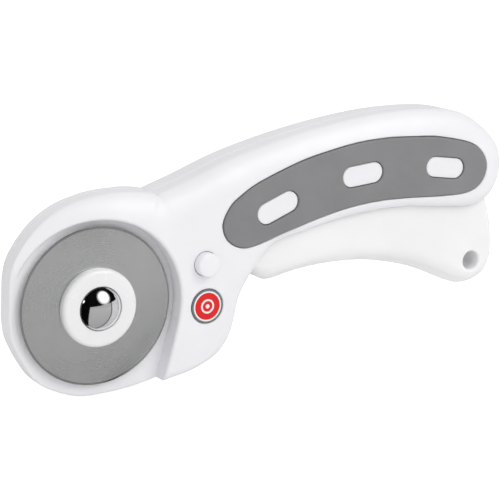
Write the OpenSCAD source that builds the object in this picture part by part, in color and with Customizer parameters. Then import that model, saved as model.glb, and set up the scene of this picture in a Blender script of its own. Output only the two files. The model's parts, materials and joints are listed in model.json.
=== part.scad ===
// Squeeze-trigger rotary cutter. The origin is the blade's centre on the parting plane of the
// two handle shells. +X runs to the handle's tail, -Y is the blade side and +Z is up.

/* [Blade] */
// Radius of the blade
blade_r = 22.5; // [22:0.1:22.6]
// Thickness of the blade
blade_t = 0.3; // [0.25:0.01:0.3]
// Width of the ground bevel at the cutting edge
bevel_w = 0.6; // [0.5:0.1:1.2]
// Radius of the blade's centre hole
blade_hole_r = 4; // [4:0.01:4.1]

/* [Handle] */
// Half thickness of the handle
handle_y = 10; // [10:0.1:11]
// Height at which the front shoulder starts, from the parting plane
shoulder_y = 4.5; // [4:0.1:5]
// How far the shoulder draws the top edge in
shoulder_w = 8.5; // [7:0.1:9]
// Half width of the hollow in the handle
hollow_y = 7.2; // [7.1:0.05:7.3]
// Thickness of the perimeter wall of the handle
wall = 3; // [2.6:0.1:3.2]
// Depth of the pocket that holds a grip inlay
pocket_depth = 1.3; // [1:0.1:1.4]
// How far a grip inlay stands proud of the handle
inlay_proud = 0.45; // [0.3:0.05:0.6]
// Gap around a grip inlay
inlay_gap = 0.2; // [0.1:0.01:0.25]

/* [Head] */
// Front face of the thin head
head_front_y = -4.5; // [-4.55:0.01:-4.4]
// Rear face of the thin head
head_rear_y = 2.3; // [2.2:0.01:2.35]
// Wall thickness of the thin head
head_wall = 1.6; // [1.4:0.05:1.7]
// Radius of the blade recess
recess_r = 24.6; // [24.3:0.1:24.8]

/* [Trigger] */
// Pivot of the trigger lever and the blade arm
pivot = [32.7, -3.7];
// Half thickness of the trigger lever
lever_y = 6.8; // [6.5:0.1:6.9]
// Radius of the pivot pin
pin_r = 2; // [1.8:0.05:2.1]
// Radius of the hang hole
hang_r = 3; // [2.8:0.1:3.2]
// Centre of the hang hole
hang_hole = [129.35, -3.2];
// Thickness of the side walls of the hollow lever
lever_wall = 2; // [1.6:0.1:2.2]

/* [Axle] */
// Radius of the axle bolt
axle_r = 2.5; // [2.4:0.05:2.5]
// Radius of the white blade collar
collar_r = 11.1; // [10.8:0.1:11.4]
// Radius of the axle bolt's domed head
dome_r = 6; // [5.6:0.1:6.1]
// Radius of the axle sleeve
sleeve_r = 5.5; // [5:0.1:5.6]
// Radius of the thumb nut
nut_r = 9; // [8:0.1:10]
// Travel of the blade axle down from rest
axle_travel = 6.35; // [6.3:0.05:6.5]

/* [Lock] */
// Centre of the lock button
lock = [32.4, 8.75];
// Radius of the lock button
lock_r = 3.45; // [3.3:0.05:3.55]
// Travel of the lock button, which is also how far it stands out
lock_travel = 2.5; // [2:0.1:2.6]

/* [Spring] */
// Number of turns of the return spring
spring_turns = 8; // [6:1:8]
// Outer radius of the return spring
spring_r = 3.5; // [3.2:0.1:3.6]
// Radius of the spring wire
wire_r = 0.4; // [0.3:0.05:0.5]

/* [Hidden] */
$fn = 64;

run_gap = 0.05;      // radial clearance of a running fit
seat_gap = 0.02;     // clearance of a seated fit
curve_steps = 4;     // straight pieces between two points of a smooth outline
level_count = 4;     // steps that make up a shoulder
rear_shoulder_y = 6; // height at which the rear shoulder starts
far = 60;            // larger than any feature that is cut away

white = [0.95, 0.95, 0.97];
grey = [0.55, 0.55, 0.56];
steel = [0.66, 0.67, 0.68];
dark_steel = [0.45, 0.46, 0.48];
red = [0.86, 0.1, 0.12];
brass = [0.8, 0.65, 0.3];

// Outlines run clockwise. The third number is the share of the shoulder at that point.
head_points = [
    [-24.8, 2.5, 1], [-23.8, 12, 1], [-21.1, 17.8, 1], [-15.4, 24.2, 1], [-8, 28.6, 1],
    [1, 30.7, 1], [10, 31, 1], [17, 30, 1], [24, 26.5, 1], [30, 16, 1], [31, 2, 1],
    [29, -12, 0.5], [21, -24, 0.3], [12, -25.7, 0.3], [4.2, -26.3, 0.3], [-5, -26, 0.3],
    [-14.1, -22.3, 0.5], [-19.1, -17.8, 1], [-23.8, -8.7, 1], [-24.9, -3, 1]];
handle_points = [
    [12, 22, 1], [20, 29.2, 1], [29.6, 32.2, 1], [42.6, 36.8, 1], [55.9, 40.3, 1],
    [69.7, 43.1, 1], [83.8, 45.2, 1], [98.4, 46.4, 1], [113.4, 46.2, 1], [124, 44.4, 1],
    [132.2, 39.7, 1], [138, 34, 1], [139.9, 28, 1], [139, 21.8, 1], [134.9, 16.9, 0.8],
    [127.7, 14.9, 0.5], [116, 15.9, 0.4], [101, 17.5, 0.4], [86, 17.1, 0.4], [75, 15.7, 0.4],
    [65, 13.6, 0.45], [57.5, 11.6, 0.6], [52.6, 7.8, 0.6], [47.6, 2.2, 0.5],
    [44.4, -2.6, 0.4], [42.7, -7.6, 0.3], [40.8, -13.6, 0.3], [36.6, -18.9, 0.3],
    [29, -22.4, 0.3], [19, -24.4, 0.3], [12, -14, 0.3]];
inlay_points = [
    [38.1, 19.4], [40.5, 24.2], [43.8, 26.9], [50.2, 30.4], [63.4, 34.9], [73.7, 37.2],
    [84, 38.8], [94.7, 39.3], [105.6, 38.8], [113.1, 38.1], [124.5, 35.4], [129.4, 32.2],
    [131.5, 27.6], [129.6, 22.6], [124.6, 20.1], [115, 19.9], [103, 20.6], [91.6, 20.8],
    [80.9, 19.9], [70.4, 17.9], [60.1, 15.2], [49, 12.3], [44, 12.1], [39.6, 14.7]];
lever_points = [
    [49.4, 9.6], [54, 13.2], [62, 15], [75, 17.5], [86, 18.8], [101, 19.2], [116, 18.3],
    [128, 17.9], [133.8, 17.2], [136.3, 13.7], [137.9, 8.1], [138.9, 2], [138.7, -4],
    [136.4, -8.5], [132.2, -10.9], [127.8, -11.3], [123.4, -10], [115.8, -6.5], [108, -3.3],
    [100.3, -1.1], [92.8, 0.5], [85.5, 1.3], [78.3, 1.5], [71.2, 1.2], [64.2, 0.4],
    [57.2, -0.8], [53.5, 0.4], [49.2, 3.6]];
// Outline of the steel blade arm: axle end, lug round the lock, tail inside the lever, pivot
plate_points = [
    [-8, 0], [-5.6, 5.7], [0, 8], [9, 7.6], [18, 7.4], [23.6, 10], [27, 14.6], [32.5, 16.6],
    [38.4, 14.2], [41, 9.6], [44.6, 8.4], [48.6, 9.4], [51.6, 9.6], [51.8, 5.6], [47.8, 3.8],
    [43.6, 1.4], [40.2, -3.2], [38.2, -8.2], [33, -11.2], [27, -10], [18, -8.6], [8, -8.2],
    [0, -8], [-5.6, -5.7]];

// Arm that joins the lever's grip to its hub
lever_arm = [[31, 1], [38, 2.5], [47, 9], [54, 13], [54, 1], [49.2, 3.4], [42.5, 0], [38, -5.4]];
// Space under and behind the lower lip in which the lever moves
lever_space = [[40, -1.5], [46, 12.5], [60, 17.5], [80, 20.5], [101, 22], [128, 20.8],
               [137.3, 22.6], [137.3, 17.2], [142, 17.2], [142, -1], [60, -1], [50, -1.5]];
// Right-hand side of the recess, from beside the blade down to its open bottom
recess_exit = [[recess_r, 0], [23.9, -6.5], [21.9, -13.5], [19.3, -22], [17.6, -27.5],
               [17.6, -far]];

windows = [[56, 22.4, 20.7], [85.3, 29.2, 4.7], [115.5, 28.5, -8.6]]; // x, z, angle
window_l = 14.1;
window_w = 6.3;

screws = [[25.5, 21.5], [31.5, -16.5], [45.5, 20], [70.5, 31], [100, 36.4]];
boss_r = 2.9;
screw_r = 1.3;
screw_head_r = 2.4;
screw_head_t = 1.6;
screw_head_y = 8.6;      // outer face of a screw head
screw_tip_y = -6.6;

rivets = [[40.4, 0.6], [47.6, 6.3]];
rivet_r = 1.5;

badge_r = 5;
badge_floor_y = -9;
badge_top_y = -10.25;
pin_y = 8.4;             // half length of the pivot pin
hub_r = 6;

plate_front_y = -2.2;
plate_rear_y = -0.2;
plate_slot_r = 3.9;      // wide enough for the lock's thick part
plate_slot_l = 2.6;
plate_end_x = 52.4;      // end of the slot in the lever that takes the plate

flange_front_y = -6.1;   // front face of the bush's flange
flange_rear_y = -4.6;
flange_r = 10;
blade_rear_y = flange_front_y - 0.03;
spigot_r = blade_hole_r - run_gap;
collar_rear_y = blade_rear_y - blade_t - 0.02;
collar_t = 3;
collar_round = 1.4;      // radius of the collar's outer front edge
cup_r = 6.25;
cup_depth = 1.9;         // the bolt head fills the cup up to the collar's face
dome_t = 2.8;
bolt_end_y = 8.8;
washer_front_y = 2.5;
washer_t = 0.8;
washer_r = 12.3;
spring_washer_r = 5;
spring_washer_t = 1;
nut_front_y = washer_front_y + washer_t + spring_washer_t;
nut_t = 5;
insert_r = 4.2;
insert_t = 3.4;
nut_ribs = 18;
nut_rib_r = 0.7;
slot_r = sleeve_r + 0.35; // half width of the head's slots

lock_neck_r = 2.6;
lock_thick_r = 3.6;
lock_flange_r = 5.2;
lock_flange_t = 0.8;
lock_joint_y = 1;        // where the lock's two halves meet
lock_tip_r = 1.6;
lock_tip_y = 5;

spring_x = 80;
spring_low_z = 15;
spring_high_z = 35;
spring_steps = 14;       // straight pieces in one turn of the spring
wire_sides = 6;
seat_half = 4.6;         // half width of the spring's seats
seat_t = 2;
seat_reach = 8;          // the lever's seat reaches further back, because it swings forward
hang_boss_r = 5.8;
hollow_start_x = 58;     // front end of the hollow in the lever

function turn_index(points, i) = points[(i + len(points)) % len(points)];

// Point of a Catmull-Rom curve between b and c
function curve_point(a, b, c, d, t) =
    0.5 * (2 * b + (c - a) * t + (2 * a - 5 * b + 4 * c - d) * t * t
           + (3 * b - a - 3 * c + d) * t * t * t);

function smooth_outline(points) = [
    for (i = [0 : len(points) - 1]) for (k = [0 : curve_steps - 1])
        curve_point(turn_index(points, i - 1), points[i], turn_index(points, i + 1),
                    turn_index(points, i + 2), k / curve_steps)];

// Unit vector that points into a clockwise outline at point i
function inward(points, i) =
    let (a = turn_index(points, i - 1), b = turn_index(points, i + 1),
         step = [b[0] - a[0], b[1] - a[1]])
    [step[1], -step[0]] / norm(step);

function drawn_in(points, distance) = [
    for (i = [0 : len(points) - 1])
        [points[i][0], points[i][1]] + distance * inward(points, i)];

// Draws an outline in by each point's own share of the distance
function shouldered(points, distance) = [
    for (i = [0 : len(points) - 1])
        [points[i][0], points[i][1]] + distance * points[i][2] * inward(points, i)];

function shoulder_inset(share) = shoulder_w * (1 - sqrt(1 - share * share));

// Angle at which the ridge over the head has risen to this share of the shoulder. On the
// front (side = -1) the ridge runs out into a long crescent, on the rear it ends earlier.
function tip_angle(side, share) = side < 0 ? 161 - 91 * share : 94 - 40 * share;

// Extrudes an outline of the XZ plane from y_low to y_high
module slab(y_low, y_high) {
    translate([0, y_high, 0]) rotate([90, 0, 0]) linear_extrude(y_high - y_low) children();
}

module rod(centre, r, y_low, y_high) {
    slab(y_low, y_high) translate(centre) circle(r);
}

module shell_outline(inset) {
    polygon(shouldered(smooth_outline(head_points), inset));
    polygon(shouldered(smooth_outline(handle_points), inset));
}

// Everything in front of the head's flat rim, from the ridge's tip round to the open bottom
module recess_outline(angle) {
    circle(recess_r);
    polygon(concat([[0, 0], far * [cos(angle), sin(angle)], [-far * 2, far * sin(angle)],
                    [-far * 2, -far]],
                   [for (i = [len(recess_exit) - 1 : -1 : 0]) recess_exit[i]]));
}

module stadium(length, width) {
    half = (length - width) / 2;
    for (side = [-1, 1]) translate([side * half, 0]) circle(width / 2);
    square([2 * half, width], center = true);
}

module window_set(growth) {
    for (w = windows)
        translate([w[0], w[1]]) rotate(w[2])
            stadium(window_l + 2 * growth, window_w + 2 * growth);
}

module axle_slot_outline() {
    circle(slot_r);
    translate([0, -axle_travel]) circle(slot_r);
    translate([-slot_r, -axle_travel]) square([2 * slot_r, axle_travel]);
}

// Slab on the rear (side = 1) or the front (side = -1), given by its distances from the middle
module side_slab(side, near, away) {
    slab(min(side * near, side * away), max(side * near, side * away)) children();
}

// Outer form of one shell half. head_y is half the head's thickness on that side.
module half_form(side, head_y, band_y) {
    side_slab(side, 0, head_y) shell_outline(0);
    if (band_y > head_y) side_slab(side, head_y, band_y) difference() {
        shell_outline(0);
        recess_outline(tip_angle(side, 0));
    }
    depth = handle_y - band_y;
    for (i = [0 : level_count - 1]) {
        share = (i + 0.5) / level_count;
        low = band_y + depth * i / level_count;
        side_slab(side, low, low + depth / level_count) difference() {
            shell_outline(shoulder_inset(share));
            recess_outline(tip_angle(side, share));
        }
    }
}

module hollow_outline() {
    difference() {
        polygon(drawn_in(smooth_outline(handle_points), wall));
        circle(recess_r + head_wall);
        translate([0, -axle_travel]) circle(recess_r + head_wall);
    }
    polygon(lever_space);
}

// Hollow of the handle and of the thin head, for y_low to y_high in the head
module hollow(y_low, y_high) {
    slab(-hollow_y, hollow_y) hollow_outline();
    slab(y_low, y_high) {
        polygon(drawn_in(smooth_outline(head_points), wall * 0.8));
        polygon(drawn_in(smooth_outline(handle_points), wall));
    }
}

module boss_posts(y_low, y_high) {
    for (s = screws) rod(s, boss_r, y_low, y_high);
}

module spring_seat(y_low, y_high) {
    slab(y_low, y_high)
        translate([spring_x - seat_half, spring_high_z]) square([2 * seat_half, seat_t]);
}

// The pocket for a grip inlay, with the window pads left standing
module inlay_pocket(y_low, y_high) {
    difference() {
        slab(y_low, y_high) polygon(drawn_in(smooth_outline(inlay_points), -inlay_gap));
        slab(y_low, y_high) window_set(0);
    }
}

module grip_inlay(y_low, y_high) {
    difference() {
        slab(y_low, y_high) polygon(smooth_outline(inlay_points));
        slab(y_low, y_high) window_set(inlay_gap);
    }
}

module front_shell() {
    color(white) difference() {
        union() {
            difference() {
                half_form(-1, -head_front_y, shoulder_y);
                hollow(head_front_y + head_wall, far);
            }
            boss_posts(-hollow_y, 0);
            spring_seat(-hollow_y, 0);
        }
        inlay_pocket(-handle_y, pocket_depth - handle_y);
        slab(head_front_y, 0) axle_slot_outline();
        rod(pivot, badge_r + run_gap, -handle_y, badge_floor_y);
        rod(pivot, pin_r + seat_gap, -pin_y, 0);
        rod(lock, lock_r + 0.1, -handle_y, 0);
        for (s = screws) rod(s, screw_r + seat_gap, screw_tip_y - 0.2, 0);
    }
}

module rear_shell() {
    color(white) difference() {
        union() {
            difference() {
                half_form(1, head_rear_y, rear_shoulder_y);
                hollow(-far, head_rear_y - head_wall);
            }
            boss_posts(0, hollow_y);
            spring_seat(0, hollow_y);
        }
        inlay_pocket(handle_y - pocket_depth, handle_y);
        slab(0, head_rear_y) axle_slot_outline();
        rod(pivot, pin_r + seat_gap, 0, pin_y);
        rod(lock, lock_r + 0.1, 0, handle_y);
        for (s = screws) {
            rod(s, screw_r + seat_gap, 0, handle_y);
            rod(s, screw_head_r + 0.1, screw_head_y - screw_head_t, handle_y);
        }
    }
}

module front_grip_inlay() {
    color(grey) grip_inlay(-handle_y - inlay_proud, pocket_depth - handle_y);
}

module rear_grip_inlay() {
    color(grey) grip_inlay(handle_y - pocket_depth, handle_y + inlay_proud);
}

module shell_screws() {
    color(dark_steel) for (s = screws) difference() {
        union() {
            rod(s, screw_r, screw_tip_y, screw_head_y - screw_head_t);
            rod(s, screw_head_r, screw_head_y - screw_head_t, screw_head_y);
        }
        for (a = [0, 90]) slab(screw_head_y - screw_head_t / 2, screw_head_y)
            translate(s) rotate(a) square([screw_head_r, screw_head_t / 4], center = true);
    }
}

module pivot_pin() {
    color(steel) rod(pivot, pin_r, -pin_y, pin_y);
}

// Enamelled disc with a ring groove inside its rim
module badge() {
    rim = 0.9;
    color(red) difference() {
        rod(pivot, badge_r, badge_top_y, badge_floor_y);
        slab(badge_top_y, badge_top_y + 0.2) translate(pivot) difference() {
            circle(badge_r - rim);
            circle(badge_r - 2 * rim);
        }
    }
}

function coil_centre(i) =
    let (angle = 360 * i / spring_steps, total = spring_turns * spring_steps, r = spring_r - wire_r)
    [r * cos(angle), r * sin(angle),
     wire_r + (spring_high_z - spring_low_z - 2 * wire_r) * i / total];

function wire_point(i, k) =
    let (angle = 360 * i / spring_steps, side = 360 * k / wire_sides, r = wire_r * cos(side))
    coil_centre(i) + [r * cos(angle), r * sin(angle), wire_r * sin(side)];

module return_spring() {
    last = spring_turns * spring_steps;
    points = [for (i = [0 : last]) for (k = [0 : wire_sides - 1]) wire_point(i, k)];
    sides = [for (i = [0 : last - 1]) for (k = [0 : wire_sides - 1])
        let (next = (k + 1) % wire_sides, low = i * wire_sides, high = low + wire_sides)
        [low + k, low + next, high + next, high + k]];
    ends = [[for (k = [wire_sides - 1 : -1 : 0]) k],
            [for (k = [0 : wire_sides - 1]) last * wire_sides + k]];
    color(steel) translate([spring_x, 0, spring_low_z]) polyhedron(points, concat(sides, ends));
}

module lever_hollow_outline() {
    difference() {
        union() {
            polygon(drawn_in(smooth_outline(lever_points), lever_wall));
            polygon([[hollow_start_x, 10], [hollow_start_x, 30], [130, 30], [134, 12]]);
        }
        translate(hang_hole) circle(hang_boss_r);
        translate([spring_x - seat_half, 0]) square([seat_half + seat_reach, spring_low_z]);
        square([hollow_start_x, far]);
    }
}

module trigger_lever() {
    color(white) difference() {
        union() {
            slab(-lever_y, lever_y) {
                polygon(smooth_outline(lever_points));
                polygon(lever_arm);
            }
            rod(pivot, hub_r, -lever_y, lever_y);
        }
        slab(lever_wall - lever_y, lever_y - lever_wall) lever_hollow_outline();
        slab(plate_front_y, plate_rear_y) translate([0, -far / 2]) square([plate_end_x, far]);
        rod(pivot, pin_r + run_gap, -lever_y, lever_y);
        rod(hang_hole, hang_r, -lever_y, lever_y);
        for (r = rivets) rod(r, rivet_r, -lever_y, lever_y);
    }
}

module blade_arm() {
    color(steel) difference() {
        slab(plate_front_y, plate_rear_y) polygon(smooth_outline(plate_points));
        rod([0, 0], sleeve_r + seat_gap, plate_front_y, plate_rear_y);
        rod(pivot, pin_r + run_gap, plate_front_y, plate_rear_y);
        for (r = rivets) rod(r, rivet_r, plate_front_y, plate_rear_y);
        slab(plate_front_y, plate_rear_y) translate(lock) {
            circle(plate_slot_r);
            translate([plate_slot_l, 0]) circle(plate_slot_r);
            translate([0, -plate_slot_r]) square([plate_slot_l, 2 * plate_slot_r]);
        }
    }
}

module arm_rivets() {
    color(steel) for (r = rivets) rod(r, rivet_r - seat_gap, -lever_y, lever_y);
}

module axle_sleeve() {
    color(dark_steel) difference() {
        rod([0, 0], sleeve_r, flange_rear_y, washer_front_y);
        rod([0, 0], axle_r + run_gap, flange_rear_y, washer_front_y);
    }
}

module blade_bush() {
    color(dark_steel) difference() {
        union() {
            rod([0, 0], flange_r, flange_front_y, flange_rear_y);
            rod([0, 0], spigot_r, collar_rear_y, flange_front_y);
        }
        rod([0, 0], axle_r + run_gap, collar_rear_y, flange_rear_y);
    }
}

// Turns a profile of radius and height about the blade's axis, height towards -Y
module turned(base_y) {
    translate([0, base_y, 0]) rotate([90, 0, 0]) rotate_extrude() children();
}

module blade_collar() {
    floor_h = collar_t - cup_depth;
    bore = axle_r + run_gap;
    color(white) turned(collar_rear_y) difference() {
        union() {
            translate([bore, 0]) square([collar_r - bore, collar_t - collar_round]);
            translate([bore, 0]) square([collar_r - collar_round - bore, collar_t]);
            translate([collar_r - collar_round, collar_t - collar_round]) circle(collar_round);
        }
        translate([0, floor_h]) square([cup_r, collar_t]);
    }
}

module axle_bolt() {
    base_y = collar_rear_y - collar_t + cup_depth;
    ball_r = (dome_r * dome_r + dome_t * dome_t) / (2 * dome_t);
    color(steel) {
        turned(base_y) {
            square([dome_r, cup_depth]);
            intersection() {
                translate([0, cup_depth + dome_t - ball_r]) circle(ball_r);
                square([dome_r, cup_depth + dome_t]);
            }
        }
        rod([0, 0], axle_r, base_y, bolt_end_y);
    }
}

module ring(r, y_low, y_high) {
    difference() {
        rod([0, 0], r, y_low, y_high);
        rod([0, 0], axle_r + run_gap, y_low, y_high);
    }
}

module slide_washer() {
    color(steel) ring(washer_r, washer_front_y, washer_front_y + washer_t);
}

module spring_washer() {
    color(steel) ring(spring_washer_r, washer_front_y + washer_t, nut_front_y);
}

module thumb_nut() {
    color(grey) difference() {
        union() {
            rod([0, 0], nut_r, nut_front_y, nut_front_y + nut_t);
            for (i = [0 : nut_ribs - 1]) {
                angle = 360 * i / nut_ribs;
                rod(nut_r * [cos(angle), sin(angle)], nut_rib_r, nut_front_y,
                    nut_front_y + nut_t - 0.5);
            }
        }
        rod([0, 0], insert_r + seat_gap, nut_front_y, nut_front_y + insert_t);
        rod([0, 0], axle_r + 2 * run_gap, nut_front_y, nut_front_y + nut_t);
    }
}

module nut_insert() {
    color(brass) ring(insert_r, nut_front_y, nut_front_y + insert_t);
}

module blade() {
    notch = 1.2;
    color(steel) difference() {
        turned(blade_rear_y) polygon([
            [0, 0], [blade_r - bevel_w, 0], [blade_r, blade_t / 2],
            [blade_r - bevel_w, blade_t], [0, blade_t]]);
        slab(blade_rear_y - blade_t, blade_rear_y) {
            circle(blade_hole_r);
            for (angle = [0, 120, 240]) rotate(angle)
                translate([0, -notch / 2]) square([blade_hole_r + notch, notch]);
        }
    }
}

module lock_button_front() {
    color(white) {
        rod(lock, lock_r, -handle_y - lock_travel, -hollow_y + 0.2);
        rod(lock, lock_flange_r, -hollow_y + 0.2, -hollow_y + 0.2 + lock_flange_t);
        rod(lock, lock_thick_r, -hollow_y + lock_flange_t, plate_front_y - 0.3);
        rod(lock, lock_neck_r, plate_front_y - 0.3, lock_joint_y);
        rod(lock, lock_tip_r, lock_joint_y, lock_tip_y);
    }
}

module lock_button_rear() {
    flange_y = hollow_y - 0.3 - lock_travel - lock_flange_t;
    color(white) difference() {
        union() {
            rod(lock, lock_neck_r, lock_joint_y, flange_y);
            rod(lock, lock_flange_r, flange_y, flange_y + lock_flange_t);
            rod(lock, lock_r, flange_y + lock_flange_t, handle_y);
        }
        rod(lock, lock_tip_r + seat_gap, lock_joint_y, lock_tip_y + 0.2);
    }
}

front_shell();
rear_shell();
front_grip_inlay();
rear_grip_inlay();
shell_screws();
pivot_pin();
badge();
return_spring();
trigger_lever();
blade_arm();
arm_rivets();
axle_sleeve();
blade_bush();
blade_collar();
axle_bolt();
slide_washer();
spring_washer();
thumb_nut();
nut_insert();
blade();
lock_button_front();
lock_button_rear();
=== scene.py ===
"""Looks of the rotary cutter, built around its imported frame.

Lengths are in millimetres until a mesh is made. Y is the thickness: the blade side is -Y."""

import json
import math

import bmesh
import bpy
import numpy as np
import openvdb
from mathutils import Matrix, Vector


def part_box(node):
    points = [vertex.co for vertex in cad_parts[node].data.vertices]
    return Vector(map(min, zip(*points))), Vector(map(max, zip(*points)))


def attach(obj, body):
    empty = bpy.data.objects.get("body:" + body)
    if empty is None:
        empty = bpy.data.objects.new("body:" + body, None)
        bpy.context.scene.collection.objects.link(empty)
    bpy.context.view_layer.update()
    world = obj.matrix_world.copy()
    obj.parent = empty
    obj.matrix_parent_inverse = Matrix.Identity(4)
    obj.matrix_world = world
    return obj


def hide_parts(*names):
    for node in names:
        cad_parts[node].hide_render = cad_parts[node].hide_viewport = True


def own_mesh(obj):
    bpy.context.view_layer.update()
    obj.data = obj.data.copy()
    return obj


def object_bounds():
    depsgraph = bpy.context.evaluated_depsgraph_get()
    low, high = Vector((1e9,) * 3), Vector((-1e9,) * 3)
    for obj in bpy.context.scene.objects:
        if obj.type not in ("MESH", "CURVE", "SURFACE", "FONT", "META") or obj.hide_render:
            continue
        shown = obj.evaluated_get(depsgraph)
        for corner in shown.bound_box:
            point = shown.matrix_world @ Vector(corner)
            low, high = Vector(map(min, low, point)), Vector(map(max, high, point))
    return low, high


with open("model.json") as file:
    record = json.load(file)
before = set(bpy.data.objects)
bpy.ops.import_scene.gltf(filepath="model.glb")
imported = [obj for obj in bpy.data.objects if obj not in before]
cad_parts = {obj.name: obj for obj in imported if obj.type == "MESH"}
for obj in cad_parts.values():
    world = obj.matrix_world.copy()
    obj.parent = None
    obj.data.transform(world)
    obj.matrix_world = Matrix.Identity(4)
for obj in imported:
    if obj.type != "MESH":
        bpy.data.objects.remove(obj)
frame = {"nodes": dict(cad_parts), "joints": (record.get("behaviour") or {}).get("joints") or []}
cad_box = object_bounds()

MM = 0.001
WELD = 1e-7                                # metres within which the points of a turned piece merge
SHARP_ANGLE = math.radians(35)             # a steeper fold of a turned piece stays a sharp edge
STEP = 0.3          # grid step of the moulded pieces
FINE_STEP = 0.18    # grid step of the small moulded pieces
GRID_MARGIN = 0.2                          # room around the shells in their grid
FIELD_BAND = 3                             # distances beyond this are clipped in a grid
FAR = 60.0                                 # larger than any feature that is cut away


# ---------------------------------------------------------------- sizes read from the frame


def node_box(name):
    low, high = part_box(name)
    return np.array(low) / MM, np.array(high) / MM


def joint_point(name):
    joint = next(j for j in frame["joints"] if j["name"] == name)
    return np.array(joint["pos_m"])[[0, 2]] / MM


def centre_xz(name):
    low, high = node_box(name)
    return (low[[0, 2]] + high[[0, 2]]) / 2


HANDLE_Y = node_box("rear_shell")[1][1]
INLAY_Y = node_box("rear_grip_inlay")[1][1]
INLAY_FLOOR = node_box("rear_grip_inlay")[0][1]
LEVER_Y = node_box("trigger_lever")[1][1]
BLADE_R = node_box("blade")[1][0]
BLADE_FRONT, BLADE_REAR = node_box("blade")[0][1], node_box("blade")[1][1]
BEVEL_W = 0.6
BLADE_HOLE_R = 4.0
COLLAR_R = node_box("blade_collar")[1][0]
COLLAR_FRONT, COLLAR_REAR = node_box("blade_collar")[0][1], node_box("blade_collar")[1][1]
DOME_R = node_box("axle_bolt")[1][0]
BOLT_FRONT, BOLT_END = node_box("axle_bolt")[0][1], node_box("axle_bolt")[1][1]
CUP_R, CUP_DEPTH = 6.25, 1.9               # the collar's cup, which the bolt's head fills
PIVOT = joint_point("trigger_squeeze")
LOCK = centre_xz("lock_button_front")
LOCK_R, LOCK_GAP, LOCK_EDGE = 3.45, 0.12, 0.3
LOCK_FLANGE_R, LOCK_THICK_R, LOCK_THIN_R = 5.2, 3.6, 2.6
BADGE = centre_xz("badge")
BADGE_TOP = node_box("badge")[0][1]
BADGE_POCKET_R, BADGE_POCKET_DEPTH, BADGE_POCKET_EDGE = 5.08, 1.0, 0.2
SPRING_LOW, SPRING_HIGH = node_box("return_spring")
SPRING_X = (SPRING_LOW[0] + SPRING_HIGH[0]) / 2

HEAD_FRONT, HEAD_REAR = 4.5, 2.3           # the thin head's faces, as distances from y = 0
HEAD_WALL = 1.6
HEAD_EDGE = 0.9                            # rounding of the thin head's edge
SHOULDER_FRONT, SHOULDER_REAR = 4.5, 6.0   # where the handle's rounded shoulder starts
SHOULDER_W = 8.5                           # how far the shoulder reaches in at its widest
SHOULDER_POWER = 0.65                      # how the shoulder's depth follows a point's share
SHOULDER_LEAST = 0.4                       # the shoulder's depth where it fades out
HOLLOW_Y = 7.2                             # the roof of the handle's hollow
ROOF_FALL = 1.1                            # how fast the hollow's roof falls where the ridge does
WALL = 3.0                                 # the shells' side wall
HEAD_SIDE_WALL = WALL * 0.8
RECESS_R = 24.6                            # the recess around the blade
RECESS_ARC = np.radians(np.arange(200, -6, -3))     # the angles over which it is round
RECESS_EDGE = 1.0                          # rounding along the top of the recess wall
RIDGE_FRONT, RIDGE_REAR = (170.0, 60.0), (98.0, 50.0)   # angles between which the ridge rises
PARTING_EDGE, PARTING_GAP = 0.3, 0.01      # rounding and gap of each shell at the parting line
POCKET_EDGE = 0.25                         # rounding of the inlay's pocket in the shell
INLAY_GAP = 0.2
INLAY_EDGE, WINDOW_EDGE = 0.45, 0.3        # roundings of the inlay's outer edge and of its windows
TIGHT_GAP, RUNNING_GAP = 0.02, 0.05        # clearances of fixed and of turning pieces
PIN_R, PIN_END_Y = 2.0, 8.4
SLEEVE_R, SLEEVE_GAP = 5.5, 0.35
SLOT_OVERCUT = 1.0                         # how far the axle's slot is cut past the head's face
AXLE_R = 2.5
AXLE_TRAVEL = 6.35                         # how far the axle drops when the lever is squeezed
HANG_HOLE = np.array([129.35, -3.2])
HANG_R, HANG_EDGE, HANG_BOSS_R = 3.0, 0.8, 5.8
SEAT_Z, SEAT_HALF, SEAT_T = 35.0, 4.6, 2.0  # the shells' seat for the spring
SCREWS = [(25.5, 21.5), (31.5, -16.5), (45.5, 20.0), (70.5, 31.0), (100.0, 36.4)]   # x, z
BOSS_R, SCREW_R, SCREW_HEAD_R = 2.9, 1.3, 2.5
SCREW_SEAT_Y, SCREW_SEAT_EDGE, SCREW_TIP_Y = 7.0, 0.2, 6.8

# Outlines run clockwise in the XZ plane. A third number is that point's share of the shoulder.
BODY_OUTLINE = [
    (21, -24, 0.3), (12, -25.7, 0.3), (4.2, -26.3, 0.3), (-5, -26, 0.3), (-14.1, -22.3, 0.5),
    (-19.1, -17.8, 1), (-23.8, -8.7, 1), (-24.9, -3, 1), (-24.8, 2.5, 1), (-23.8, 12, 1),
    (-21.1, 17.8, 1), (-15.4, 24.2, 1), (-8, 28.6, 1), (1, 30.7, 1), (10, 31, 1), (17, 30, 1),
    (20, 29.2, 1), (20.1, 29.2, 1), (29.6, 32.2, 1), (42.6, 36.8, 1), (55.9, 40.3, 1),
    (69.7, 43.1, 1), (83.8, 45.2, 1), (98.4, 46.4, 1), (113.4, 46.2, 1), (124, 44.4, 1),
    (132.2, 39.7, 1), (138, 34, 1), (139.9, 28, 1), (139, 21.8, 1), (134.9, 16.9, 0.8),
    (127.7, 14.9, 0.5), (116, 15.9, 0.4), (101, 17.5, 0.4), (86, 17.1, 0.4), (75, 15.7, 0.4),
    (65, 13.6, 0.45), (57.5, 11.6, 0.6), (52.6, 7.8, 0.6), (47.6, 2.2, 0.5), (44.4, -2.6, 0.4),
    (42.7, -7.6, 0.3), (40.8, -13.6, 0.3), (36.6, -18.9, 0.3), (29, -22.4, 0.3)]
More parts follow.
